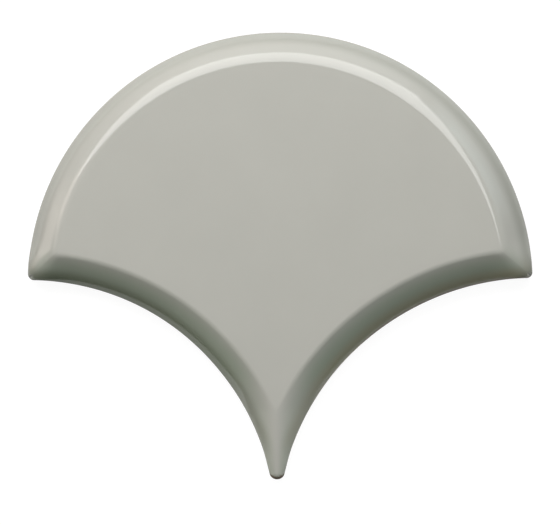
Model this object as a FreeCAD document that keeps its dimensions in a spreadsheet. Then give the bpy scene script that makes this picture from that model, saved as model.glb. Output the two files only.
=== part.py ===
import FreeCAD, Part
import math
import os

import Sketcher

# Fish scale tile: one pressed and fired piece with a half-round crown, two hollows and a tail between them.
# Everything is drawn from the centre of the crown's half circle on the back of the tile.
# +X runs from hollow to hollow, +Y to the top of the crown and +Z out of the face.

# Driving sizes in millimetres: name, value, what it measures
SIZES = [
    ("crown_radius", 60.0, "half circle of the crown"),
    ("hollow_radius", 60.0, "hollows that the crowns of the next row nest in"),
    ("cusp_rise", 1.4, "tops of the hollows above the centre of the crown"),
    ("tail_radius", 1.6, "full round at the tip of the tail"),
    ("cusp_radius", 1.4, "rounding of the two side corners"),
    ("thickness", 9.5, "back to face"),
    ("edge_height", 4.2, "side wall, from the back to the foot of the bevel"),
    ("bevel_width", 7.4, "side wall to the flat of the face"),
    ("shoulder_radius", 3.5, "rounding between bevel and face"),
    ("key_border", 6.0, "plain border round the keyed back"),
    ("key_depth", 0.8, "depth of the key grooves"),
    ("rib_pitch", 8.0, "from rib to rib on the keyed back"),
    ("rib_width", 3.0, "width of a rib between two key grooves"),
]

# A little over a half turn, so that the crown's bevel runs out past both cusps
CROWN_TURN = 200.0
FULL_TURN = 360.0

# Distances from the crown's centre that follow from the driving sizes
HOLLOW_DROP = "(sizes.hollow_radius - sizes.cusp_rise)"
TAIL_REACH = "sqrt(sizes.tail_radius * (2 * sizes.hollow_radius + sizes.tail_radius))"
TAIL_DROP = f"({HOLLOW_DROP} - {TAIL_REACH} + sizes.tail_radius)"
BOX_SHIFT = f"({TAIL_DROP} - sizes.crown_radius) / 2"

# The ribs of the keyed back stand at whole pitches from the crown's centre, as many as the keyed field takes
KEY_TAIL = f"({HOLLOW_DROP} - sqrt(sizes.key_border * (2 * sizes.hollow_radius + sizes.key_border)))"
RIBS_BELOW = f"floor({KEY_TAIL} / sizes.rib_pitch)"
RIBS_ABOVE = "floor((sizes.crown_radius - sizes.key_border) / sizes.rib_pitch)"
RIB_COUNT = f"{RIBS_BELOW} + {RIBS_ABOVE} + 1"
RIB_FOOT = f"({RIBS_BELOW} * sizes.rib_pitch + sizes.rib_width / 2)"

# Ends of a line or an arc, and the sketch's own axes
START = 1
END = 2
CENTRE = 3
ORIGIN = -1
UPRIGHT_AXIS = -2

doc = FreeCAD.newDocument("fish_scale_tile")
size = {name: value for name, value, meaning in SIZES}


def add_size_sheet():
    sheet = doc.addObject("Spreadsheet::Sheet", "sizes")
    for row, (name, value, meaning) in enumerate(SIZES, start=1):
        sheet.set(f"A{row}", meaning)
        sheet.set(f"B{row}", str(value))
        sheet.setAlias(f"B{row}", name)
    doc.recompute()


def add_body(label):
    """A body whose origin stands at the crown's centre, set so that the tile's box is centred on the part's."""
    body = doc.addObject("PartDesign::Body", label)
    body.Label = label
    body.setExpression("Placement.Base.y", BOX_SHIFT)
    return body


def origin_plane(body, role):
    return next(plane for plane in body.Origin.OriginFeatures if plane.Role == role)


def add_sketch(body, name, role):
    sketch = body.newObject("Sketcher::SketchObject", name)
    sketch.AttachmentSupport = (origin_plane(body, role), [""])
    sketch.MapMode = "FlatFace"
    return sketch


def point(across, up):
    return FreeCAD.Vector(across, up, 0)


def line(start, end):
    return Part.LineSegment(start, end)


def arc(centre, radius, first, last):
    """Arc that runs anticlockwise round its centre from the direction of one point to that of another."""
    circle = Part.Circle(centre, FreeCAD.Vector(0, 0, 1), radius)
    angles = [math.atan2(end.y - centre.y, end.x - centre.x) for end in (first, last)]
    return Part.ArcOfCircle(circle, *angles)


def measure(sketch, kind, places, expression):
    """Adds a dimension to a sketch and ties it to the size sheet."""
    value = sketch.evalExpression(expression)
    index = sketch.addConstraint(Sketcher.Constraint(kind, *places, value))
    sketch.setExpression(f"Constraints[{index}]", expression)


def join(sketch, kind, *places):
    sketch.addConstraint(Sketcher.Constraint(kind, *places))


def circles_meet(centre_a, radius_a, centre_b, radius_b):
    """The meeting point of two circles that lies to the left of the way from the first centre to the second."""
    way = centre_b - centre_a
    gap = way.Length
    along = (radius_a ** 2 - radius_b ** 2 + gap ** 2) / (2 * gap)
    aside = math.sqrt(radius_a ** 2 - along ** 2)
    way.normalize()
    return centre_a + way * along + point(-way.y, way.x) * aside


def hollow_centre(side):
    return point(side * size["hollow_radius"], size["cusp_rise"] - size["hollow_radius"])


def fix_three_arcs(sketch, crown, right, left, inset):
    """Sets the centres and radii of the crown and both hollows, all moved in from the outline by an inset."""
    join(sketch, "Coincident", crown, CENTRE, ORIGIN, START)
    measure(sketch, "Radius", [crown], f"sizes.crown_radius - {inset}")
    measure(sketch, "Radius", [right], f"sizes.hollow_radius + {inset}")
    join(sketch, "Equal", right, left)
    measure(sketch, "DistanceX", [ORIGIN, START, right, CENTRE], "sizes.hollow_radius")
    measure(sketch, "DistanceY", [right, CENTRE, ORIGIN, START], HOLLOW_DROP)
    join(sketch, "Symmetric", right, CENTRE, left, CENTRE, UPRIGHT_AXIS)


def draw_outline(body):
    """Outline of the tile: the crown, the two hollows and the full-round tip that is tangent to both."""
    sketch = add_sketch(body, "outline", "XY_Plane")
    centre = point(0, 0)
    right_centre = hollow_centre(1)
    left_centre = hollow_centre(-1)
    cusp = circles_meet(centre, size["crown_radius"], right_centre, size["hollow_radius"])
    reach = math.sqrt(size["tail_radius"] * (2 * size["hollow_radius"] + size["tail_radius"]))
    tip_centre = point(0, right_centre.y + reach)
    crown = sketch.addGeometry(arc(centre, size["crown_radius"], cusp, point(-cusp.x, cusp.y)))
    right = sketch.addGeometry(arc(right_centre, size["hollow_radius"], cusp, tip_centre))
    left = sketch.addGeometry(arc(left_centre, size["hollow_radius"], tip_centre, point(-cusp.x, cusp.y)))
    tip = sketch.addGeometry(arc(tip_centre, size["tail_radius"], left_centre, right_centre))
    join(sketch, "Coincident", crown, START, right, START)
    join(sketch, "Coincident", crown, END, left, END)
    join(sketch, "Tangent", right, END, tip, END)
    join(sketch, "Tangent", left, START, tip, START)
    fix_three_arcs(sketch, crown, right, left, "0")
    measure(sketch, "Radius", [tip], "sizes.tail_radius")
    return sketch


def draw_bevel_section(sketch, radius_name, inward):
    """Section that a bevel takes off: sloping foot, rounded shoulder, then out along the level of the face.

    inward is -1 where the tile lies inside the radius, as at the crown, and 1 where it lies outside it.
    """
    radius = size[radius_name]
    foot = point(radius, size["edge_height"])
    face_end = point(radius + inward * size["bevel_width"], size["thickness"])
    shoulder_centre = face_end - point(0, size["shoulder_radius"])
    rise = shoulder_centre.y - foot.y
    gap = math.hypot(size["bevel_width"], rise)
    slope = math.atan2(rise, size["bevel_width"]) + math.asin(size["shoulder_radius"] / gap)
    slope_end = shoulder_centre + point(-inward * math.sin(slope), math.cos(slope)) * size["shoulder_radius"]
    outer_top = point(radius - inward * size["bevel_width"], size["thickness"])
    outer_foot = point(outer_top.x, foot.y)
    ends = (slope_end, face_end) if inward < 0 else (face_end, slope_end)
    shoulder_ends = (START, END) if inward < 0 else (END, START)

    bevel = sketch.addGeometry(line(foot, slope_end))
    shoulder = sketch.addGeometry(arc(shoulder_centre, size["shoulder_radius"], *ends))
    top = sketch.addGeometry(line(face_end, outer_top))
    outside = sketch.addGeometry(line(outer_top, outer_foot))
    bottom = sketch.addGeometry(line(outer_foot, foot))
    join(sketch, "Tangent", bevel, END, shoulder, shoulder_ends[0])
    join(sketch, "Tangent", shoulder, shoulder_ends[1], top, START)
    join(sketch, "Coincident", top, END, outside, START)
    join(sketch, "Coincident", outside, END, bottom, START)
    join(sketch, "Coincident", bottom, END, bevel, START)
    join(sketch, "Horizontal", top)
    join(sketch, "Vertical", outside)
    join(sketch, "Horizontal", bottom)
    measure(sketch, "DistanceX", [ORIGIN, START, bevel, START], f"sizes.{radius_name}")
    measure(sketch, "DistanceY", [ORIGIN, START, bevel, START], "sizes.edge_height")
    measure(sketch, "DistanceY", [ORIGIN, START, top, START], "sizes.thickness")
    measure(sketch, "Radius", [shoulder], "sizes.shoulder_radius")
    across = [top, START, bevel, START] if inward < 0 else [bevel, START, top, START]
    overrun = [bevel, START, top, END] if inward < 0 else [top, END, bevel, START]
    measure(sketch, "DistanceX", across, "sizes.bevel_width")
    measure(sketch, "DistanceX", overrun, "sizes.bevel_width")


def add_turned_cut(body, name, sketch, turn):
    """Takes a section off all along a turn about the upright axis of its sketch."""
    doc.recompute()
    before = body.Shape.Volume
    cut = body.newObject("PartDesign::Groove", name)
    cut.Profile = sketch
    cut.ReferenceAxis = (sketch, ["V_Axis"])
    cut.Midplane = True
    cut.Angle = turn
    doc.recompute()
    check_less(body, before, name)
    return cut


def check_less(body, before, name):
    if not body.Shape.Volume < before:
        raise RuntimeError(f"{name} takes nothing off the tile")


def add_slab(body):
    """The blank: the outline raised to the full thickness, with its two side corners rounded."""
    slab = body.newObject("PartDesign::Pad", "slab")
    slab.Profile = draw_outline(body)
    slab.setExpression("Length", "sizes.thickness")
    doc.recompute()
    edges = slab.Shape.Edges
    upright = [n for n, edge in enumerate(edges, start=1) if edge.BoundBox.ZLength > size["edge_height"]]
    side = max(abs(edges[n - 1].CenterOfMass.x) for n in upright)
    cusps = [f"Edge{n}" for n in upright if abs(edges[n - 1].CenterOfMass.x) > side - size["cusp_radius"]]
    corners = body.newObject("PartDesign::Fillet", "cusp_corners")
    corners.Base = (slab, cusps)
    corners.setExpression("Radius", "sizes.cusp_radius")


def add_crown_bevel(body):
    sketch = add_sketch(body, "crown_section", "YZ_Plane")
    draw_bevel_section(sketch, "crown_radius", -1)
    add_turned_cut(body, "crown_bevel", sketch, CROWN_TURN)


def add_hollow_bevels(body):
    """One hollow's bevel, turned about the hollow's own axis, and its mirror image across the tail."""
    sketch = add_sketch(body, "hollow_section", "XZ_Plane")
    sketch.setExpression("AttachmentOffset.Base.x", "-sizes.hollow_radius")
    sketch.setExpression("AttachmentOffset.Base.z", HOLLOW_DROP)
    draw_bevel_section(sketch, "hollow_radius", 1)
    cut = add_turned_cut(body, "hollow_bevel", sketch, FULL_TURN)
    before = body.Shape.Volume
    mirrored = body.newObject("PartDesign::Mirrored", "other_hollow_bevel")
    mirrored.Originals = [cut]
    mirrored.MirrorPlane = (origin_plane(body, "YZ_Plane"), [""])
    body.Tip = mirrored
    doc.recompute()
    check_less(body, before, mirrored.Name)


def draw_key_field(body):
    """Field of the keyed back: the outline moved in by the plain border."""
    sketch = add_sketch(body, "key_field", "XY_Plane")
    border = size["key_border"]
    centre = point(0, 0)
    right_centre = hollow_centre(1)
    left_centre = hollow_centre(-1)
    crown_radius = size["crown_radius"] - border
    hollow_radius = size["hollow_radius"] + border
    cusp = circles_meet(centre, crown_radius, right_centre, hollow_radius)
    tail = point(0, right_centre.y + math.sqrt(hollow_radius ** 2 - size["hollow_radius"] ** 2))
    crown = sketch.addGeometry(arc(centre, crown_radius, cusp, point(-cusp.x, cusp.y)))
    right = sketch.addGeometry(arc(right_centre, hollow_radius, cusp, tail))
    left = sketch.addGeometry(arc(left_centre, hollow_radius, tail, point(-cusp.x, cusp.y)))
    join(sketch, "Coincident", crown, START, right, START)
    join(sketch, "Coincident", crown, END, left, END)
    join(sketch, "Coincident", right, END, left, START)
    fix_three_arcs(sketch, crown, right, left, "sizes.key_border")
    return sketch


def draw_rib(body):
    """Outline of the lowest rib, as wide as the whole tile."""
    sketch = add_sketch(body, "lowest_rib", "XY_Plane")
    side = size["crown_radius"]
    low = -sketch.evalExpression(RIB_FOOT)
    high = low + size["rib_width"]
    corners = [point(-side, low), point(side, low), point(side, high), point(-side, high)]
    edges = [sketch.addGeometry(line(corners[n - 1], corners[n])) for n in range(len(corners))]
    for n, edge in enumerate(edges):
        join(sketch, "Coincident", edges[n - 1], END, edge, START)
        join(sketch, "Horizontal" if n % 2 else "Vertical", edge)
    bottom = edges[1]
    measure(sketch, "DistanceX", [bottom, START, ORIGIN, START], "sizes.crown_radius")
    measure(sketch, "DistanceX", [ORIGIN, START, bottom, END], "sizes.crown_radius")
    measure(sketch, "DistanceY", [bottom, START, ORIGIN, START], RIB_FOOT)
    measure(sketch, "DistanceY", [edges[2], START, edges[2], END], "sizes.rib_width")
    return sketch


def add_keys():
    """Solid of the key grooves: the keyed field, parted into bars by a row of ribs."""
    keys = add_body("key_grooves")
    field = keys.newObject("PartDesign::Pad", "field")
    field.Profile = draw_key_field(keys)
    field.setExpression("Length", "sizes.key_depth")
    doc.recompute()
    before = keys.Shape.Volume
    rib = keys.newObject("PartDesign::Pocket", "rib")
    rib.Profile = draw_rib(keys)
    rib.Type = "ThroughAll"
    rib.Midplane = True
    ribs = keys.newObject("PartDesign::LinearPattern", "ribs")
    ribs.Originals = [rib]
    ribs.Direction = (rib.Profile[0], ["V_Axis"])
    ribs.Mode = "Spacing"
    ribs.setExpression("Offset", "sizes.rib_pitch")
    ribs.setExpression("Occurrences", RIB_COUNT)
    keys.Tip = ribs
    doc.recompute()
    check_less(keys, before, ribs.Name)
    return keys


def add_keyed_back(body):
    keys = add_keys()
    before = body.Shape.Volume
    back = body.newObject("PartDesign::Boolean", "keyed_back")
    back.Type = "Cut"
    back.setObjects([keys])
    doc.recompute()
    check_less(body, before, back.Name)


def check_all(body):
    failed = [item.Name for item in doc.Objects if {"Invalid", "Error"} & set(item.State)]
    if failed:
        raise RuntimeError(f"not built: {failed}")
    if body.Shape.isNull() or not body.Shape.isValid() or len(body.Shape.Solids) != 1:
        raise RuntimeError(f"{body.Label} is not one sound solid")


add_size_sheet()
tile = add_body("scale_tile")
add_slab(tile)
add_crown_bevel(tile)
add_hollow_bevels(tile)
add_keyed_back(tile)
check_all(tile)
os.makedirs("parts", exist_ok=True)
tile.Shape.exportStep(f"parts/{tile.Label}.step")
box = tile.Shape.BoundBox
print(tile.Label, round(tile.Shape.Volume), [round(side, 2) for side in (box.XLength, box.YLength, box.ZLength)])
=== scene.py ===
import math

import bmesh
import bpy
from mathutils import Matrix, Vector, noise


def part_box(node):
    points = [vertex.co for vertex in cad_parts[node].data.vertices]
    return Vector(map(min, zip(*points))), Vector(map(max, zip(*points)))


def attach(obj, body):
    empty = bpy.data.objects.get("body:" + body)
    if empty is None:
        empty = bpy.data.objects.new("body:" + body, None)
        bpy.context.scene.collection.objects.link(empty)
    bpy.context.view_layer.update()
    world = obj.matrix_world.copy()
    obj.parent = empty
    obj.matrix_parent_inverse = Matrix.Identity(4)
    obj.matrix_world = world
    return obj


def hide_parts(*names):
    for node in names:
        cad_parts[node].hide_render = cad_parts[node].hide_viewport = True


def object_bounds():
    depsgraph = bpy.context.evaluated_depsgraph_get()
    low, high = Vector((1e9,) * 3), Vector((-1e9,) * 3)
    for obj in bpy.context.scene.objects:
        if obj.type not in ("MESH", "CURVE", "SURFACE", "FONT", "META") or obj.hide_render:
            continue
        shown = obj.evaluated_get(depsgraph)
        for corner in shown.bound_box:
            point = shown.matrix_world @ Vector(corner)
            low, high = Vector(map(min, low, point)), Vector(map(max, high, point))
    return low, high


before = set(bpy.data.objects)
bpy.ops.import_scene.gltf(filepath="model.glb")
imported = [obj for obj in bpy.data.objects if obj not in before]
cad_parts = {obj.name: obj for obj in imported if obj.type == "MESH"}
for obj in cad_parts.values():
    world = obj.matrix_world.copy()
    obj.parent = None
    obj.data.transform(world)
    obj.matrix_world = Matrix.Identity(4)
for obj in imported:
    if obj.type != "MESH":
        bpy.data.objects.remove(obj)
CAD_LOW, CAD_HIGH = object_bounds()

bl_info = {
    "name": "Fish scale tile",
    "version": (1, 0, 0),
    "blender": (4, 5, 0),
    "location": "View3D > Sidebar > Tile",
    "description": "Makes a glazed fish scale tile and the studio that shows it",
    "category": "Object",
}

MM = 0.001
NODE = "scale_tile"

# Points nearer to each other than this are one point.
SAME_PLACE = 0.0005 * MM


def linear(hex_colour):
    """Linear red, green and blue of an sRGB hex colour."""
    parts = [int(hex_colour[place:place + 2], 16) / 255 for place in (1, 3, 5)]
    return [part / 12.92 if part <= 0.04045 else ((part + 0.055) / 1.055) ** 2.4 for part in parts]


def number(name, value, description, **kind):
    """A number that a user can change, with its unit or subtype where one fits."""
    return bpy.props.FloatProperty(name=name, description=description, default=value, **kind)


def length(name, millimetres, description):
    return number(name, millimetres * MM, description, unit="LENGTH")


def angle(name, degrees, description):
    return number(name, math.radians(degrees), description, subtype="ANGLE")


def share(name, fraction, description):
    return number(name, fraction, description, subtype="FACTOR")


def colour(name, hex_colour, description):
    default = linear(hex_colour)
    return bpy.props.FloatVectorProperty(name=name, description=description, default=default, subtype="COLOR")


class TileSizes(bpy.types.PropertyGroup):
    """Sizes of the tile, from its solid or fitted close to it, and of the softness that the glaze adds."""

    crown_radius: length("Crown radius", 60.0, "Half circle of the crown")
    hollow_radius: length("Hollow radius", 60.0, "Hollows that the crowns of the next row nest in")
    cusp_rise: length("Cusp rise", 1.4, "Tops of the hollows above the centre of the crown")
    tail_radius: length("Tail radius", 1.6, "Full round at the tip of the tail")
    cusp_radius: length("Cusp radius", 1.4, "Rounding of the two side corners")
    thickness: length("Thickness", CAD_HIGH.z / MM, "Back to face")
    edge_height: length("Edge height", 4.4, "Side wall up to the foot of the bevel")
    bevel_width: length("Bevel width", 7.52, "Side wall to the flat of the face, along the crown")
    hollow_width: length("Hollow width", 7.05, "Side wall to the flat of the face, along the left hollow")
    right_extra: length("Right extra", 0.2, "How much wider the bevel is along the right hollow")
    crown_camber: length("Crown camber", 32.0, "Radius of the gentle rounding across the crown's bevel")
    hollow_camber: length("Hollow camber", 26.0, "Radius of the gentle rounding across a hollow's bevel")
    crown_shoulder: length("Crown shoulder", 4.4, "Rounding between the crown's bevel and the face")
    hollow_shoulder: length("Hollow shoulder", 2.6, "Rounding between a hollow's bevel and the face")
    arris_radius: length("Arris radius", 0.4, "Glaze-softened edge between bevel and side wall")
    wall_draft: length("Wall draft", 0.4, "How far the side wall draws in from the bevel to the back")
    hip_at_face: length("Hip at face", 1.0, "Softness of the mitre of two bevels where it leaves the face")
    hip_at_cusp: length("Hip at cusp", 5.0, "Softness of the mitre of two bevels where it ends at a cusp")
    cusp_lift: length("Cusp lift", 1.25, "How far the foot of the bevel climbs towards a cusp")
    tail_blend: length("Tail blend", 11.0, "Stretch over which the two bevels turn into the arch of the tail")
    tail_fall: angle("Tail fall", 5.0, "Slope of the tail's ridge, from the end of the flat face to the tip")
    tail_reach: length("Tail reach", 6.7, "Width of the bevels where they meet at the end of the flat face")
    tail_lift: length("Tail lift", 3.05, "How far the foot of the bevel climbs towards the tip of the tail")
    tail_climb: length("Tail climb", 23.0, "Stretch over which the foot of the bevel climbs")
    tail_short: length("Tail short", 0.3, "How much the firing has shortened the tail")
    tail_swell: share("Tail swell", 0.12, "How much of its width the glaze adds at the tip of the tail")
    tail_drawn: length("Tail drawn", -0.5, "How far the firing has drawn the tail aside, to the left below 0")
    # Reach of the painted shadow line along the right hollow's arris and round the tail's tip.
    shadow_by_hollow: length("Crawl at hollow", 0.35, "How far the glaze has left the arris of the right hollow")
    shadow_at_tip: length("Crawl at tip", 0.6, "How far the glaze has left the arris of the tail's tip")
    glaze_line: length("Glaze line", 1.5, "Mean height above the back at which the glaze ends")
    glaze_fade: length("Glaze fade", 4.6, "Stretch over which the bevel's glaze turns into the face's")
    key_border: length("Key border", 6.0, "Plain border round the keyed back")
    key_depth: length("Key depth", 0.8, "Depth of the key grooves")
    key_draft: length("Key draft", 0.35, "How far the walls of a key groove lean in")
    rib_pitch: length("Rib pitch", 8.0, "From rib to rib on the keyed back")
    rib_width: length("Rib width", 3.0, "Width of a rib between two key grooves")


class TileColours(bpy.types.PropertyGroup):
    """Colours of the glaze and of the bare fired body, and painted shade on the hollows' bevels, rims and
    some arrises.
    """

    face: colour("Face", "#B4B3AC", "Glaze on the flat of the face")
    crown_bevel: colour("Crown bevel", "#B2B1AA", "Glaze on the crown's bevel")
    # Painted shade at the bevels' feet, where the glaze also pools: the rims are darker than the bevels, the
    # left hollow's the darkest and the right one's lighter and warmer.
    crown_pool_and_shade: colour("Crown rim", "#A2A29A", "Glaze pooled at the foot of the crown's bevel")
    # Painted shade: the hollows' bevels, which face away from the key light, get a darker, greener copy of
    # the bevel's glaze.
    hollow_bevel_shade: colour("Hollow bevel", "#A3AC9C", "Glaze on the hollows' bevels, run thicker and greener")
    left_pool_and_shade: colour("Left rim", "#8A927F", "Glaze pooled dark at the foot of the left hollow's bevel")
    right_pool_and_shade: colour("Right rim", "#A8A791", "Thinner, warmer glaze at the foot of the right hollow's bevel")
    # Painted shadow: the dark line along the arris of the right hollow and round the tail's tip.
    arris_shadow: colour("Thin", "#7E7264", "Glaze so thin on an arris that the body shows through")
    body: colour("Body", "#BE9070", "Bare pressed and fired body")
    body_dark: colour("Body dark", "#A2775A", "Body where the firing has flashed it")
    speck: colour("Speck", "#6B4A38", "Iron specks in the body")


class StudioSettings(bpy.types.PropertyGroup):
    """Camera, lights and floor."""

    camera_distance: length("Camera distance", 900.0, "Camera to the middle of the picture")
    lean_right: angle("Lean right", 3.5, "Camera's lean to the right of upright")
    lean_tail: angle("Lean to tail", 1.2, "Camera's lean towards the tail")
    roll: angle("Roll", -0.19, "Camera's turn about its own line of sight")
    view_width: length("View width", 132.85, "What the picture takes in from side to side")
    view_x: length("View across", 0.185, "Middle of the picture, from hollow to hollow")
    view_y: length("View along", -1.53, "Middle of the picture, along the tail's line")
    key_light: number("Key light", 3.68, "Radiance of the softbox over the crown")
    key_roll: angle("Key roll", 7.0, "Turn of the softbox in its own plane")
    strip_light: number("Strip light", 0.3, "Radiance of the strip low behind the crown")
    right_light: number("Right light", 1.15, "Radiance of the reflector on the right")
    side_light: number("Side light", 1.7, "Radiance of the low reflector on the left")
    fill_light: number("Fill light", 2.4, "Radiance of the high reflector on the left")
    card_light: number("Card light", 0.43, "Radiance of the card over the tail")
    back_light: number("Back light", 4.0, "Radiance of the card below the back")
    card_colour: colour("Card colour", "#F2FFEE", "Tint of the card over the tail")
    left_colour: colour("Left colour", "#FFF3E8", "Tint of the two reflectors on the left")
    right_colour: colour("Right colour", "#E0FAFF", "Tint of the reflector on the right")
    paper_colour: colour("Paper colour", "#616161", "Paper of the floor, before the glow that makes it white")
    paper_glow: number("Paper glow", 0.95, "Radiance that the floor adds where it is seen")


def clamped(value):
    """The value, kept between 0 and 1."""
    return min(max(value, 0.0), 1.0)


def smooth_step(value):
    """Goes from 0 to 1 as the value does, with a soft start and end, and stays there."""
    value = clamped(value)
    return value * value * (3 - 2 * value)


def smooth_min(first, second, softness):
    """The smaller of two lengths, rounded off where they come closer to each other than the softness."""
    closeness = max(1 - abs(first - second) / softness, 0)
    return min(first, second) - closeness ** 2 * softness / 4


def circles_meet(centre_a, radius_a, centre_b, radius_b):
    """The meeting point of two circles to the left of the way from the first centre to the second."""
    way = centre_b - centre_a
    gap = way.length
    along = (radius_a ** 2 - radius_b ** 2 + gap ** 2) / (2 * gap)
    aside = math.sqrt(radius_a ** 2 - along ** 2)
    way.normalize()
    return centre_a + way * along + Vector((-way.y, way.x)) * aside


def arc_points(centre, radius, start, end, fractions):
    """Points of an arc at fractions of the way from its start to its end."""
    turns = [start + (end - start) * fraction for fraction in fractions]
    return [centre + Vector((math.cos(turn), math.sin(turn))) * radius for turn in turns]


def arc_height(centre, radius, across):
    """Height of the top of a circle at a place across it."""
    return centre.y + math.sqrt(max(radius ** 2 - (across - centre.x) ** 2, 0))


class Outline:
    """Outline of the tile in plan, from the centre of the crown, and the lines at an even inset from it."""

    CROWN_STEPS = 180
    HOLLOW_STEPS = 90
    CORNER_STEPS = 8
    TAIL_STEPS = 14

    # How strongly the points of a long arc gather at its ends, where the corners need finer steps.
    GATHERING = 0.86

    # How far from a cusp the foot of the bevel still climbs, in widths of the bevel.
    CUSP_REACH = 1.2

    def __init__(self, sizes):
        self.sizes = sizes
        self.crown = Vector((0, 0))
        drop = sizes.cusp_rise - sizes.hollow_radius
        self.hollows = [Vector((side * sizes.hollow_radius, drop)) for side in (-1, 1)]

    def gathered(self, steps, count):
        """The first fractions of an arc that is divided into steps, with the points gathered at its ends."""
        even = [n / steps for n in range(count)]
        return [part - self.GATHERING * math.sin(2 * math.pi * part) / (2 * math.pi) for part in even]

    def cusp_centre(self, inset):
        """Centre of the rounding of the right cusp, or the corner itself where the inset has used it up."""
        sizes = self.sizes
        inset = max(inset, sizes.cusp_radius)
        crown_radius = sizes.crown_radius - inset
        return circles_meet(self.crown, crown_radius, self.hollows[1], sizes.hollow_radius + inset)

    def tail_centre(self, inset):
        """Centre of the rounding of the tail's tip, or the corner itself where the inset has used it up."""
        sizes = self.sizes
        inset = max(inset, sizes.tail_radius)
        reach = math.sqrt(inset * (2 * sizes.hollow_radius + inset))
        return Vector((0, self.hollows[1].y + reach))

    def right_half(self, inset):
        """Points from the tip of the tail up the right hollow, round the cusp and to the top of the crown."""
        sizes = self.sizes
        hollow = self.hollows[1]
        cusp = self.cusp_centre(inset)
        tail = self.tail_centre(inset)
        cusp_radius = max(sizes.cusp_radius - inset, 0)
        tail_radius = max(sizes.tail_radius - inset, 0)
        tail_turn = math.atan2(tail.y - hollow.y, tail.x - hollow.x)
        cusp_turn = math.atan2(cusp.y - hollow.y, cusp.x - hollow.x)
        crown_turn = math.atan2(cusp.y, cusp.x)
        steps = [n / self.TAIL_STEPS for n in range(self.TAIL_STEPS)]
        points = arc_points(tail, tail_radius, -math.pi / 2, tail_turn - math.pi, steps)
        steps = self.gathered(self.HOLLOW_STEPS, self.HOLLOW_STEPS)
        points += arc_points(hollow, sizes.hollow_radius + inset, tail_turn, cusp_turn, steps)
        steps = [n / self.CORNER_STEPS for n in range(self.CORNER_STEPS)]
        points += arc_points(cusp, cusp_radius, cusp_turn - math.pi, crown_turn, steps)
        steps = [2 * part for part in self.gathered(self.CROWN_STEPS, self.CROWN_STEPS // 2 + 1)]
        points += arc_points(self.crown, sizes.crown_radius - inset, crown_turn, math.pi / 2, steps)
        return points

    def ring(self, inset):
        """Closed ring of points, anticlockwise from the tip of the tail. Every ring has as many points."""
        right = self.right_half(inset)
        left = [Vector((-point.x, point.y)) for point in reversed(right[1:-1])]
        return right + left

    def distances(self, point):
        """How far a point lies inside the left hollow, the right hollow and the crown."""
        sizes = self.sizes
        left, right = [(point - hollow).length - sizes.hollow_radius for hollow in self.hollows]
        return left, right, sizes.crown_radius - point.length

    def crownwards(self, point):
        """Whether a point belongs to a hollow, 0, or the crown, 1, with a gradual change over the mitre."""
        left, right, crown = self.distances(point)
        return smooth_step(0.5 + (min(left, right) - crown) / (2 * self.sizes.hip_at_cusp))

    def near_cusp(self, point):
        """How near a point lies to a cusp: 1 in the middle of its rounding, and 0 out of its reach."""
        away = (Vector((abs(point.x), point.y)) - self.cusp_centre(0)).length
        return max(1 - away / (self.CUSP_REACH * self.sizes.bevel_width), 0)

    def hip_drop(self, point, inset):
        """How much nearer to the rim a point seems once the mitres between the three bevels are rounded."""
        sizes = self.sizes
        outwards = clamped(1 - inset / sizes.bevel_width)
        at_cusp = sizes.hip_at_face + (sizes.hip_at_cusp - sizes.hip_at_face) * outwards
        left, right, crown = self.distances(point)
        rounded = smooth_min(smooth_min(left, right, sizes.hip_at_face), crown, at_cusp)
        return min(left, right, crown) - rounded

    def half_width(self, along, inset):
        """From the tail's line to the line at an even inset, at a place along the tail's line."""
        sizes = self.sizes
        hollow = self.hollows[1]
        radius = sizes.hollow_radius + inset
        above = along - hollow.y
        crown = math.sqrt(max((sizes.crown_radius - inset) ** 2 - along ** 2, 0))
        if above >= radius:
            return crown
        return max(min(crown, hollow.x - math.sqrt(radius ** 2 - above ** 2)), 0)


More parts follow.
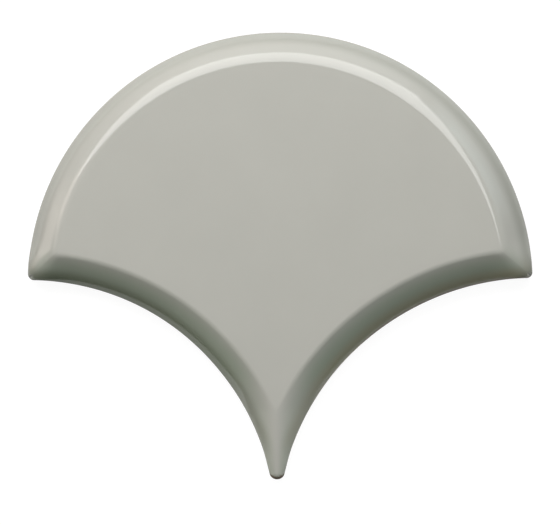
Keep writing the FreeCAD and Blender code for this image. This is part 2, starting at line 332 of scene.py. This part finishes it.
class Section:
    """Height of the glazed top over the inset from the outline: arris, bevel, shoulder and flat face."""

    ARRIS_STEPS = 6
    BEVEL_STEPS = 16
    SHOULDER_STEPS = 14
    FACE_STEPS = 12

    # Inset of the innermost ring, as a share of the crown's radius.
    INNERMOST = 0.62

    # How strongly the rings of the face crowd towards the shoulder. At 1 they are even.
    CROWDING = 1.4

    def __init__(self, sizes, width, camber, shoulder_radius):
        self.sizes = sizes
        self.width = width
        self.camber = camber
        self.shoulder_radius = shoulder_radius
        foot = Vector((0, sizes.edge_height))
        self.shoulder = Vector((width, sizes.thickness - shoulder_radius))
        self.bevel = circles_meet(self.shoulder, camber - shoulder_radius, foot, camber)
        arris_radius = sizes.arris_radius
        rise = math.sqrt((camber - arris_radius) ** 2 - (arris_radius - self.bevel.x) ** 2)
        self.arris = Vector((arris_radius, self.bevel.y + rise))
        self.arris_end = self.bevel.x + (self.arris - self.bevel).normalized().x * camber
        self.bevel_end = self.bevel.x + (self.shoulder - self.bevel).normalized().x * camber

    def height(self, inset):
        """Height without the arris. The bevel goes on down past the rim, where a rounded mitre needs it."""
        if inset >= self.width:
            return self.sizes.thickness
        if inset > self.bevel_end:
            return arc_height(self.shoulder, self.shoulder_radius, inset)
        return arc_height(self.bevel, self.camber, inset)

    def arris_fall(self, inset):
        """How far the softened edge lies below the bevel."""
        if inset >= self.arris_end:
            return 0
        return self.height(inset) - arc_height(self.arris, self.sizes.arris_radius, inset)

    def insets(self):
        """Insets of the rings, from the side wall inwards, closest where the section turns."""
        steps = self.ARRIS_STEPS
        arris = [self.arris_end * (n / steps) ** 2 for n in range(steps)]
        steps = self.BEVEL_STEPS
        bevel = [self.arris_end + (self.bevel_end - self.arris_end) * n / steps for n in range(steps)]
        steps = self.SHOULDER_STEPS
        whole_turn = math.asin((self.width - self.bevel_end) / self.shoulder_radius)
        turns = [whole_turn * (1 - n / steps) for n in range(steps + 1)]
        shoulder = [self.width - self.shoulder_radius * math.sin(turn) for turn in turns]
        steps = self.FACE_STEPS
        stretch = self.sizes.crown_radius * self.INNERMOST - self.width
        face = [self.width + stretch * (n / steps) ** self.CROWDING for n in range(1, steps + 1)]
        return arris + bevel + shoulder + face


class TileMesh:
    """Mesh of the tile, built from rings of points that lie at even insets from its outline."""

    GLAZE = 0
    BODY = 1
    GROOVE_STEPS = 16

    # Edges that turn by more than this stay sharp.
    SHARP_ANGLE = math.radians(40)

    # The firing draws the tail aside over a stretch below the cusps, and shortens and swells it near its tip,
    # from a place above the centre of the tip's rounding.
    DRAWN_OVER = 25 * MM
    TIP_FROM = 6 * MM
    TIP_OVER = 7 * MM

    # The right hollow's bevel widens over a stretch that begins this far to the right of the tail's line.
    EXTRA_FROM = 5 * MM
    EXTRA_OVER = 12 * MM

    # Power of the curve across the tail's arch where the flat face ends, and how much it grows to the tip.
    ARCH_POWER = 1.65
    ARCH_GROWTH = 0.45

    # Glaze pools in a strip along the rim, and painted shade darkens the same strip; it fades out inwards.
    # Down the tail most of the darkening is left out.
    RIM_WIDTH = 1.0 * MM
    RIM_FADE = 2.4 * MM
    RIM_LOSS = 0.9
    LOSS_FROM = 0.3
    LOSS_OVER = 0.5

    # The tail's flanks turn to the bevels' colours, painted shade in part, faster than they fall.
    FLANK_GLAZE = 1.5

    # How much less of the hollows' painted shade, darker and greener, the tail gets.
    TAIL_LESS_SHADE = 0.6

    # Stretch beside the tail's line over which the left hollow's rim shade changes to the right one's.
    SIDE_CHANGE = 10 * MM

    # A painted shadow line runs along the right hollow's arris, from this far off the tail's line, and round
    # the tip.
    SHADOW_FROM = 16 * MM
    SHADOW_OVER = 8 * MM
    SHADOW_AT_TIP_OVER = 0.8 * MM
    SHADOW_FADE = 0.2 * MM

    # The glaze line wanders slowly, with a finer wander on that: length of a wave and share of the height.
    SLOW_WAVE = 14 * MM
    SLOW_SHARE = 0.28
    FAST_WAVE = 3.5 * MM
    FAST_SHARE = 0.1

    # Lip at the end of the glaze: mm above the glaze line, and how far it stands proud in wall drafts.
    LIP = ((0.5, 0.0), (0.22, 0.08), (0.1, 0.08), (0.02, 0.04), (0.0, 0.0))

    # Rounded foot of the bare wall: mm above the back, and how far it stands proud in wall drafts.
    FOOT = ((0.6, 0.0), (0.3, -0.08), (0.1, -0.4), (0.0, -1.0))

    def __init__(self, sizes, shift):
        self.sizes = sizes
        self.shift = shift
        self.outline = Outline(sizes)
        self.tip = self.outline.tail_centre(0).y
        self.face_end = self.outline.tail_centre(sizes.tail_reach).y
        self.crown_section = Section(sizes, sizes.bevel_width, sizes.crown_camber, sizes.crown_shoulder)
        self.hollow_section = Section(sizes, sizes.hollow_width, sizes.hollow_camber, sizes.hollow_shoulder)
        self.mesh = bmesh.new()
        # Shares of the glaze's colours on each vertex, painted shade among them: dark rims, the hollows'
        # shaded bevels and a shadow line on some arrises.
        self.pooled_and_shaded = self.mesh.verts.layers.float.new("pooled_and_shaded")
        self.bevelled = self.mesh.verts.layers.float.new("bevelled")
        self.hollowed = self.mesh.verts.layers.float.new("hollowed")
        self.arris_shadow = self.mesh.verts.layers.float.new("arris_shadow")
        self.rightward = self.mesh.verts.layers.float.new("rightward")

    def vertex(self, point, height):
        """Vertex at a point of the plan, moved as the firing has moved it."""
        sizes = self.sizes
        aside = sizes.tail_drawn * smooth_step((sizes.cusp_rise - point.y) / self.DRAWN_OVER)
        near_tip = smooth_step((self.tip + self.TIP_FROM - point.y) / self.TIP_OVER)
        across = point.x * (1 + sizes.tail_swell * near_tip) + aside
        along = point.y + sizes.tail_short * near_tip + self.shift
        return self.mesh.verts.new((across, along, height))

    def bridge(self, outer, inner, material):
        """Faces between two rings that have as many vertices."""
        for n in range(len(outer)):
            face = self.mesh.faces.new((outer[n - 1], outer[n], inner[n], inner[n - 1]))
            face.material_index = material
            face.smooth = True

    def tailwards(self, point):
        """Whether a point lies by the hollows, 0, or in the tail, 1."""
        return smooth_step(1 + (self.face_end - point.y) / self.sizes.tail_blend)

    def below_face(self, point):
        """How far down the tail a point lies: 0 where the flat face ends, 1 where the rounded tip begins."""
        return clamped((self.face_end - point.y) / (self.face_end - self.tip))

    def tail_flank(self, point, inset):
        """How far down a flank of the tail's arch a point lies: 0 on the ridge and 1 at the rim."""
        sizes = self.sizes
        above = max(point.y, self.tip) - self.outline.hollows[1].y
        reach = math.hypot(sizes.hollow_radius, above) - sizes.hollow_radius
        return clamped(1 - inset / min(reach, sizes.tail_reach))

    def tail_arch(self, point, inset):
        """Height of the tail's arch, which rounds off between a ridge that falls and a rim that climbs."""
        sizes = self.sizes
        along = max(point.y, self.tip)
        ridge = sizes.thickness - math.tan(sizes.tail_fall) * max(self.face_end - along, 0)
        rim = sizes.edge_height + sizes.tail_lift * smooth_step(1 - (along - self.tip) / sizes.tail_climb)
        power = self.ARCH_POWER + self.ARCH_GROWTH * self.below_face(point)
        return ridge - (ridge - rim) * self.tail_flank(point, inset) ** power

    def extra_width(self, point, inset):
        """How much further in the right hollow's section lies: nothing at the rim and most at the face."""
        sizes = self.sizes
        rightwards = smooth_step((point.x - self.EXTRA_FROM) / self.EXTRA_OVER)
        return sizes.right_extra * rightwards * smooth_step(inset / sizes.hollow_width)

    def top_height(self, point, inset):
        """Height of the glazed top, with the mitres between two bevels rounded off."""
        sizes = self.sizes
        softened = inset - self.outline.hip_drop(point, inset)
        crown_height = self.crown_section.height(softened)
        hollow_height = self.hollow_section.height(softened - self.extra_width(point, softened))
        height = hollow_height + (crown_height - hollow_height) * self.outline.crownwards(point)
        down = clamped(1 - softened / sizes.bevel_width)
        height += sizes.cusp_lift * smooth_step(self.outline.near_cusp(point)) * down
        height += (self.tail_arch(point, inset) - height) * self.tailwards(point)
        return height - self.crown_section.arris_fall(inset)

    def rim_pool_and_shade(self, point, inset):
        """How much of the rims' colour, pooled glaze and painted shade, a point has."""
        across = 1 - smooth_step((inset - self.RIM_WIDTH) / self.RIM_FADE)
        lost = self.RIM_LOSS * smooth_step((self.below_face(point) - self.LOSS_FROM) / self.LOSS_OVER)
        return across * (1 - lost)

    def bevel_glaze(self, point, inset):
        """Whether a point has the glaze of the face, 0, or of a bevel, 1, which on the hollows is painted
        shade.
        """
        sizes = self.sizes
        bevelled = 1 - smooth_step(1 + (inset - sizes.bevel_width) / sizes.glaze_fade)
        on_flank = smooth_step(self.FLANK_GLAZE * self.tail_flank(point, inset))
        return bevelled + (on_flank - bevelled) * self.tailwards(point)

    def hollow_shade(self, point):
        """Whether a point has the crown's colours, 0, or the hollows' painted shade, darker and greener, 1.
        """
        return (1 - self.outline.crownwards(point)) * (1 - self.TAIL_LESS_SHADE * self.tailwards(point))

    def right_side_share(self, point):
        """Whether a point has the left hollow's rim shade, 0, or the right one's, 1."""
        return smooth_step(0.5 + point.x / self.SIDE_CHANGE)

    def shadow_reach(self, point):
        """How far in from the arris a painted shadow line reaches, by the right hollow and round the tail's
        tip.
        """
        sizes = self.sizes
        rightwards = smooth_step((point.x - self.SHADOW_FROM) / self.SHADOW_OVER)
        by_hollow = rightwards * (1 - self.outline.crownwards(point))
        by_tip = smooth_step((self.tip - point.y) / self.SHADOW_AT_TIP_OVER)
        return max(sizes.shadow_by_hollow * by_hollow, sizes.shadow_at_tip * by_tip)

    def top_ring(self, inset):
        """Ring of vertices of the glazed top, each with the shares of its colours, painted shade included."""
        ring = []
        for point in self.outline.ring(inset):
            vertex = self.vertex(point, self.top_height(point, inset))
            vertex[self.pooled_and_shaded] = self.rim_pool_and_shade(point, inset)
            vertex[self.bevelled] = self.bevel_glaze(point, inset)
            vertex[self.hollowed] = self.hollow_shade(point)
            # Painted shadow: a dark line along the arris, as far in as the line reaches.
            vertex[self.arris_shadow] = smooth_step((self.shadow_reach(point) - inset) / self.SHADOW_FADE)
            vertex[self.rightward] = self.right_side_share(point)
            ring.append(vertex)
        return ring

    def add_top(self):
        """Bevel, shoulder and face, from the head of the side wall to the middle of the face."""
        rings = [self.top_ring(inset) for inset in self.crown_section.insets()]
        for outer, inner in zip(rings, rings[1:]):
            self.bridge(outer, inner, self.GLAZE)
        last = rings[-1]
        middle = sum((vertex.co for vertex in last), Vector()) / len(last)
        centre = self.mesh.verts.new(middle)
        for n in range(len(last)):
            face = self.mesh.faces.new((last[n - 1], last[n], centre))
            face.smooth = True
        return rings[0]

    def glaze_line(self, point):
        """Height at which the glaze ends on the side wall."""
        slow = noise.noise(Vector((point.x, point.y, 0)) / self.SLOW_WAVE)
        fast = noise.noise(Vector((point.x, point.y, 1)) / self.FAST_WAVE)
        return self.sizes.glaze_line * (1 + self.SLOW_SHARE * slow + self.FAST_SHARE * fast)

    def add_wall(self, head):
        """Side wall: glazed to an uneven line that ends in a fine lip, and bare body below it."""
        feet = self.outline.ring(self.sizes.wall_draft)
        tops = self.outline.ring(0)
        lines = [self.glaze_line(top) for top in tops]

        def ring(heights, proud):
            """Ring of the wall, standing proud of it by a share of its draft."""
            rises = [height / top.co.z + proud for height, top in zip(heights, head)]
            points = [foot.lerp(top, rise) for foot, top, rise in zip(feet, tops, rises)]
            return [self.vertex(point, height) for point, height in zip(points, heights)]

        rings = [head]
        for above, proud in self.LIP:
            rings.append(ring([line + above * MM for line in lines], proud))
            for vertex, top in zip(rings[-1], tops):
                # The glazed band of the wall takes the rims' colours, painted shade included.
                vertex[self.pooled_and_shaded] = 1
                vertex[self.bevelled] = 1
                vertex[self.hollowed] = self.hollow_shade(top)
                vertex[self.rightward] = self.right_side_share(top)
        for upper, lower in zip(rings, rings[1:]):
            self.bridge(lower, upper, self.GLAZE)
        rings = [rings[-1]]
        for height, proud in self.FOOT:
            rings.append(ring([height * MM] * len(feet), proud))
        for upper, lower in zip(rings, rings[1:]):
            self.bridge(lower, upper, self.BODY)
        return rings[-1]

    def rib_lines(self):
        """Edges of the ribs along the tail's line, lowest first: two to a rib."""
        sizes = self.sizes
        low = self.outline.tail_centre(sizes.key_border).y
        high = sizes.crown_radius - sizes.key_border
        first = math.ceil(low / sizes.rib_pitch)
        last = math.floor(high / sizes.rib_pitch)
        half = sizes.rib_width / 2
        return [rib * sizes.rib_pitch + side * half for rib in range(first, last + 1) for side in (-1, 1)]

    def groove_loop(self, low, high, inset, height):
        """Closed loop of vertices round the mouth or the floor of a key groove, anticlockwise."""
        low = max(low, self.outline.tail_centre(inset).y)
        high = min(high, self.sizes.crown_radius - inset)
        turns = [math.pi * n / self.GROOVE_STEPS for n in range(self.GROOVE_STEPS + 1)]
        levels = [low + (high - low) * (1 - math.cos(turn)) / 2 for turn in turns]
        right = [Vector((self.outline.half_width(level, inset), level)) for level in levels]
        left = [Vector((-point.x, point.y)) for point in reversed(right) if point.x > SAME_PLACE]
        return [self.vertex(point, height) for point in right + left]

    def add_back(self, rim):
        """Border and ribs in the plane of the back, with key grooves sunk between the ribs."""
        sizes = self.sizes
        draft = sizes.key_draft
        loops = [rim]
        lines = [-math.inf, *self.rib_lines(), math.inf]
        for low, high in zip(lines[0::2], lines[1::2]):
            mouth = self.groove_loop(low, high, sizes.key_border, 0)
            floor = self.groove_loop(low + draft, high - draft, sizes.key_border + draft, sizes.key_depth)
            self.bridge(mouth, floor, self.BODY)
            self.mesh.faces.new(floor).material_index = self.BODY
            loops.append(mouth)
        edges = [self.mesh.edges.get((loop[n - 1], loop[n])) for loop in loops for n in range(len(loop))]
        filled = bmesh.ops.triangle_fill(self.mesh, edges=edges, normal=(0, 0, -1))
        for part in filled["geom"]:
            if isinstance(part, bmesh.types.BMFace):
                part.material_index = self.BODY

    def finished(self, name):
        """The mesh as Blender keeps it, with no doubled points and all its faces turned outwards."""
        bmesh.ops.remove_doubles(self.mesh, verts=self.mesh.verts, dist=SAME_PLACE)
        bmesh.ops.recalc_face_normals(self.mesh, faces=self.mesh.faces)
        mesh = bpy.data.meshes.new(name)
        self.mesh.to_mesh(mesh)
        self.mesh.free()
        mesh.set_sharp_from_angle(angle=self.SHARP_ANGLE)
        return mesh


def add_node(tree, kind, settings=None, **inputs):
    """Adds a node with its settings. An input is a value or another node's socket.

    An input goes by its name, with _ for a space, or by its place: i0 is the first.
    """
    node = tree.nodes.new(kind)
    for name, value in (settings or {}).items():
        setattr(node, name, value)
    for name, value in inputs.items():
        place = int(name[1:]) if name[0] == "i" and name[1:].isdigit() else name.replace("_", " ")
        if isinstance(value, bpy.types.NodeSocket):
            tree.links.new(value, node.inputs[place])
        else:
            node.inputs[place].default_value = value
    return node


def new_material(name):
    """A new material with an empty node tree, and that tree."""
    material = bpy.data.materials.new(name)
    material.use_nodes = True
    material.node_tree.nodes.clear()
    return material, material.node_tree


def glaze_material(colours):
    """Glossy grey glaze, sprayed and fired: a glassy skin, pooled at the bevels' feet, with painted shade:
    darker rims, darker and greener hollows' bevels, and a dark shadow line along some arrises.
    """
    material, tree = new_material("sprayed_gloss_glaze")
    names = ("hollowed", "bevelled", "pooled_and_shaded", "arris_shadow", "rightward")
    layers = [add_node(tree, "ShaderNodeAttribute", {"attribute_name": name}) for name in names]
    hollowed, bevelled, pooled_and_shaded, arris_shadow, rightward = [layer.outputs["Fac"] for layer in layers]
    mix = {"data_type": "RGBA"}
    # Painted shade: the hollows' bevels darker and greener than the crown's.
    bevel = add_node(
        tree, "ShaderNodeMix", mix, i0=hollowed, i6=(*colours.crown_bevel, 1), i7=(*colours.hollow_bevel_shade, 1)
    )
    # Painted shade at the rims, where the glaze also pools: the left hollow's darkest, the right one's
    # lighter and warmer.
    hollow_pools_and_shade = add_node(
        tree, "ShaderNodeMix", mix, i0=rightward, i6=(*colours.left_pool_and_shade, 1), i7=(*colours.right_pool_and_shade, 1)
    )
    rim = add_node(
        tree, "ShaderNodeMix", mix, i0=hollowed, i6=(*colours.crown_pool_and_shade, 1), i7=hollow_pools_and_shade.outputs[2]
    )
    face_or_bevel = add_node(tree, "ShaderNodeMix", mix, i0=bevelled, i6=(*colours.face, 1), i7=bevel.outputs[2])
    base = add_node(tree, "ShaderNodeMix", mix, i0=pooled_and_shaded, i6=face_or_bevel.outputs[2], i7=rim.outputs[2])

    # Spraying leaves clouds that are a little lighter or darker and more or less glossy than the rest.
    cloud_size = 12 * MM
    point = add_node(tree, "ShaderNodeTexCoord").outputs["Object"]
    cloud = add_node(tree, "ShaderNodeTexNoise", Vector=point, Scale=1 / cloud_size, Detail=2.0).outputs[0]
    value = add_node(tree, "ShaderNodeMapRange", Value=cloud, To_Min=0.975, To_Max=1.025).outputs[0]
    gloss = add_node(tree, "ShaderNodeMapRange", Value=cloud, To_Min=0.06, To_Max=0.1).outputs[0]
    clouded = add_node(tree, "ShaderNodeHueSaturation", Value=value, Color=base.outputs[2])
    # Painted shadow: a dark line along the arris of the right hollow and round the tail's tip.
    arris_shaded = add_node(tree, "ShaderNodeMix", mix, i0=arris_shadow, i6=clouded.outputs[0], i7=(*colours.arris_shadow, 1))

    # Orange peel a few thousandths of a millimetre high.
    peel_size = 2.5 * MM
    peel_height = 0.004 * MM
    peel = add_node(tree, "ShaderNodeTexNoise", Vector=point, Scale=1 / peel_size, Detail=1.0).outputs[0]

    # A pinhole in those cells of a pattern whose random value is high: its width as a share of the cell, and
    # its depth in heights of the orange peel.
    cell_size = 8 * MM
    hole_width = 0.03
    hole_depth = 5.0
    holed_from = 0.7
    cells = add_node(tree, "ShaderNodeTexVoronoi", Vector=point, Scale=1 / cell_size).outputs
    hole = add_node(
        tree, "ShaderNodeMapRange", Value=cells["Distance"],
        From_Max=hole_width, To_Min=-hole_depth, To_Max=0.0,
    ).outputs[0]
    above = {"operation": "GREATER_THAN"}
    chosen = add_node(tree, "ShaderNodeMath", above, i0=cells["Color"], i1=holed_from).outputs[0]
    product_and_sum = {"operation": "MULTIPLY_ADD"}
    height = add_node(tree, "ShaderNodeMath", product_and_sum, i0=hole, i1=chosen, i2=peel).outputs[0]
    relief = add_node(tree, "ShaderNodeBump", Strength=1.0, Distance=peel_height, Height=height).outputs[0]
    surface = add_node(
        tree, "ShaderNodeBsdfPrincipled", Base_Color=arris_shaded.outputs[2], Roughness=gloss, IOR=1.55, Normal=relief
    )
    add_node(tree, "ShaderNodeOutputMaterial", Surface=surface.outputs[0])
    return material


def body_material(colours):
    """Pressed and fired clay, unglazed: dull and close-grained, flashed by the kiln and specked with iron."""
    material, tree = new_material("pressed_clay_biscuit")
    mix = {"data_type": "RGBA"}
    point = add_node(tree, "ShaderNodeTexCoord").outputs["Object"]
    flash_size = 22 * MM
    flash = add_node(tree, "ShaderNodeTexNoise", Vector=point, Scale=1 / flash_size, Detail=3.0).outputs[0]
    base = add_node(tree, "ShaderNodeMix", mix, i0=flash, i6=(*colours.body, 1), i7=(*colours.body_dark, 1))

    # Grains of the press powder, drawn at about twice their real size so that they show.
    grain_size = 0.8 * MM
    grain_height = 0.03 * MM
    grain = add_node(tree, "ShaderNodeTexNoise", Vector=point, Scale=1 / grain_size, Detail=2.0).outputs[0]
    value = add_node(tree, "ShaderNodeMapRange", Value=grain, To_Min=0.86, To_Max=1.14).outputs[0]
    grained = add_node(tree, "ShaderNodeHueSaturation", Value=value, Color=base.outputs[2])

    # Iron specks some 0.3 mm across, with soft edges, one to every few millimetres.
    speck_gap = 3.5 * MM
    cells = add_node(tree, "ShaderNodeTexVoronoi", Vector=point, Scale=1 / speck_gap).outputs
    edges = {"From_Min": 0.03, "From_Max": 0.07, "To_Min": 0.7, "To_Max": 0.0}
    speck = add_node(tree, "ShaderNodeMapRange", Value=cells["Distance"], **edges).outputs[0]
    specked = add_node(tree, "ShaderNodeMix", mix, i0=speck, i6=grained.outputs[0], i7=(*colours.speck, 1))
    dullness = add_node(tree, "ShaderNodeMapRange", Value=grain, To_Min=0.78, To_Max=0.92).outputs[0]
    relief = add_node(tree, "ShaderNodeBump", Strength=1.0, Distance=grain_height, Height=grain).outputs[0]
    surface = add_node(
        tree, "ShaderNodeBsdfPrincipled", Base_Color=specked.outputs[2], Roughness=dullness, Normal=relief
    )
    add_node(tree, "ShaderNodeOutputMaterial", Surface=surface.outputs[0])
    return material


class OBJECT_OT_make_scale_tile(bpy.types.Operator):
    """Make the tile: one fired piece with a glazed face and a bare, keyed back"""

    bl_idname = "object.make_scale_tile"
    bl_label = "Make scale tile"

    def execute(self, context):
        sizes = context.scene.tile_sizes
        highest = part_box(NODE)[1]
        tile = TileMesh(sizes, highest.y - sizes.crown_radius)
        head = tile.add_top()
        rim = tile.add_wall(head)
        tile.add_back(rim)
        piece = bpy.data.objects.new("glazed_scale_tile", tile.finished("glazed_scale_tile"))
        context.scene.collection.objects.link(piece)
        colours = context.scene.tile_colours
        piece.data.materials.append(glaze_material(colours))
        piece.data.materials.append(body_material(colours))
        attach(piece, "root")
        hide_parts(NODE)
        return {"FINISHED"}


def add_light(scene, name, place, size, radiance, tint=(1, 1, 1), target=(0, 0, 0), roll=0.0):
    """Adds a softbox or card that faces its target, as bright as the radiance asks. Lengths are in metres."""
    lamp = bpy.data.lights.new(name, "AREA")
    lamp.shape = "RECTANGLE"
    lamp.size, lamp.size_y = size
    lamp.energy = radiance * math.pi * lamp.size * lamp.size_y
    lamp.color = tint
    light = bpy.data.objects.new(name, lamp)
    light.location = place
    light.rotation_euler = (Vector(target) - Vector(place)).to_track_quat("-Z", "Y").to_euler()
    light.rotation_euler.rotate_axis("Z", roll)
    scene.collection.objects.link(light)


def add_reflector(scene, name, place, size, radiance, tint):
    """Adds a reflector that fades towards its edges: sheets of light, each larger and further back."""
    growths = (0.7, 1.0, 1.3)
    step_back = 0.1
    for growth in growths:
        sheet_place = Vector(place) * (1 - step_back + step_back * growth)
        sheet_size = (size[0] * growth, size[1] * growth)
        add_light(scene, name, sheet_place, sheet_size, radiance / len(growths), tint)


def floor_material(studio):
    """White paper: it renders white to the camera and keeps a soft shadow.

    It is clear when seen from below and lets the light below it through, so that the back shows.
    """
    material, tree = new_material("white_paper")
    larger = {"operation": "MAXIMUM"}
    rays = add_node(tree, "ShaderNodeLightPath").outputs
    seen = add_node(tree, "ShaderNodeMath", larger, i0=rays["Is Camera Ray"], i1=rays["Is Glossy Ray"])
    seen = add_node(tree, "ShaderNodeMath", larger, i0=seen.outputs[0], i1=rays["Is Transmission Ray"])
    paper = add_node(tree, "ShaderNodeBsdfDiffuse", Color=(*studio.paper_colour, 1))
    white = add_node(tree, "ShaderNodeEmission", Strength=studio.paper_glow)
    both = add_node(tree, "ShaderNodeAddShader", i0=paper.outputs[0], i1=white.outputs[0])
    lit = add_node(tree, "ShaderNodeMixShader", i0=seen.outputs[0], i1=paper.outputs[0], i2=both.outputs[0])
    below = add_node(tree, "ShaderNodeNewGeometry").outputs["Backfacing"]
    clear = add_node(tree, "ShaderNodeBsdfTransparent")
    open_to = add_node(tree, "ShaderNodeMath", larger, i0=below, i1=rays["Is Shadow Ray"])
    sheet = add_node(
        tree, "ShaderNodeMixShader", i0=open_to.outputs[0], i1=lit.outputs[0], i2=clear.outputs[0]
    )
    add_node(tree, "ShaderNodeOutputMaterial", Surface=sheet.outputs[0])
    return material


class SCENE_OT_make_tile_studio(bpy.types.Operator):
    """Make the floor, the lights and the camera that looks down on the tile"""

    bl_idname = "scene.make_tile_studio"
    bl_label = "Make tile studio"

    def execute(self, context):
        self.add_floor(context.scene)
        self.add_lights(context.scene)
        self.add_camera(context.scene)
        context.scene.view_settings.view_transform = "Standard"
        return {"FINISHED"}

    def add_floor(self, scene):
        """Floor just below the back, so that the two don't lie in one plane."""
        half = 3.0
        level = -0.05 * MM
        corners = [(-half, -half, level), (half, -half, level), (half, half, level), (-half, half, level)]
        mesh = bpy.data.meshes.new("paper_floor")
        mesh.from_pydata(corners, [], [(0, 1, 2, 3)])
        mesh.materials.append(floor_material(scene.tile_studio))
        floor = bpy.data.objects.new("paper_floor", mesh)
        scene.collection.objects.link(floor)

    def add_lights(self, scene):
        """Softbox, reflectors and cards round the tile, in a dark room."""
        studio = scene.tile_studio
        add_light(
            scene, "key_softbox", (-0.212, 0.575, 0.515), (1.274, 0.82), studio.key_light,
            target=(-0.387, 0.164, -0.149), roll=studio.key_roll,
        )
        add_light(scene, "back_strip", (0.05, 0.96, 0.2), (1.0, 0.15), studio.strip_light)
        right = studio.right_colour
        add_reflector(
            scene, "right_reflector", (0.706, 0.494, 0.405), (0.45, 0.42), studio.right_light, right
        )
        left = studio.left_colour
        add_reflector(scene, "left_reflector", (-0.92, 0.129, 0.2), (0.5, 0.27), studio.side_light, left)
        add_reflector(scene, "left_fill", (-0.722, 0.292, 0.545), (0.22, 0.4), studio.fill_light, left)
        card = studio.card_colour
        add_light(scene, "front_card", (0.0, -0.386, 0.693), (0.4, 0.36), studio.card_light, card)
        add_light(scene, "back_card", (0.1, 0.3, -0.75), (0.8, 0.8), studio.back_light)
        scene.world = bpy.data.worlds.new("room")
        scene.world.use_nodes = True
        scene.world.node_tree.nodes["Background"].inputs["Strength"].default_value = 0.0

    def add_camera(self, scene):
        """Camera at the photograph's viewing angle, aimed at the level of the tile's rim."""
        studio = scene.tile_studio
        lens = bpy.data.cameras.new("camera")
        lens.sensor_width = 36.0
        lens.lens = lens.sensor_width * studio.camera_distance / studio.view_width
        camera = bpy.data.objects.new("camera", lens)
        camera.rotation_euler = (studio.lean_tail, studio.lean_right, studio.roll)
        aim = Vector((studio.view_x, studio.view_y, scene.tile_sizes.edge_height))
        camera.location = aim + camera.rotation_euler.to_matrix() @ Vector((0, 0, studio.camera_distance))
        scene.collection.objects.link(camera)
        scene.camera = camera


class VIEW3D_PT_scale_tile(bpy.types.Panel):
    """Sidebar panel of the fish scale tile"""

    bl_label = "Fish scale tile"
    bl_space_type = "VIEW_3D"
    bl_region_type = "UI"
    bl_category = "Tile"

    def draw(self, context):
        for group in (context.scene.tile_sizes, context.scene.tile_colours, context.scene.tile_studio):
            box = self.layout.box()
            for name in group.__annotations__:
                box.prop(group, name)
        self.layout.operator(OBJECT_OT_make_scale_tile.bl_idname)
        self.layout.operator(SCENE_OT_make_tile_studio.bl_idname)


CLASSES = (
    TileSizes,
    TileColours,
    StudioSettings,
    OBJECT_OT_make_scale_tile,
    SCENE_OT_make_tile_studio,
    VIEW3D_PT_scale_tile,
)


def register():
    for each in CLASSES:
        bpy.utils.register_class(each)
    bpy.types.Scene.tile_sizes = bpy.props.PointerProperty(type=TileSizes)
    bpy.types.Scene.tile_colours = bpy.props.PointerProperty(type=TileColours)
    bpy.types.Scene.tile_studio = bpy.props.PointerProperty(type=StudioSettings)


def unregister():
    del bpy.types.Scene.tile_studio
    del bpy.types.Scene.tile_colours
    del bpy.types.Scene.tile_sizes
    for each in reversed(CLASSES):
        bpy.utils.unregister_class(each)


def main():
    register()
    bpy.ops.object.make_scale_tile()
    bpy.ops.scene.make_tile_studio()


if __name__ == "__main__":
    main()
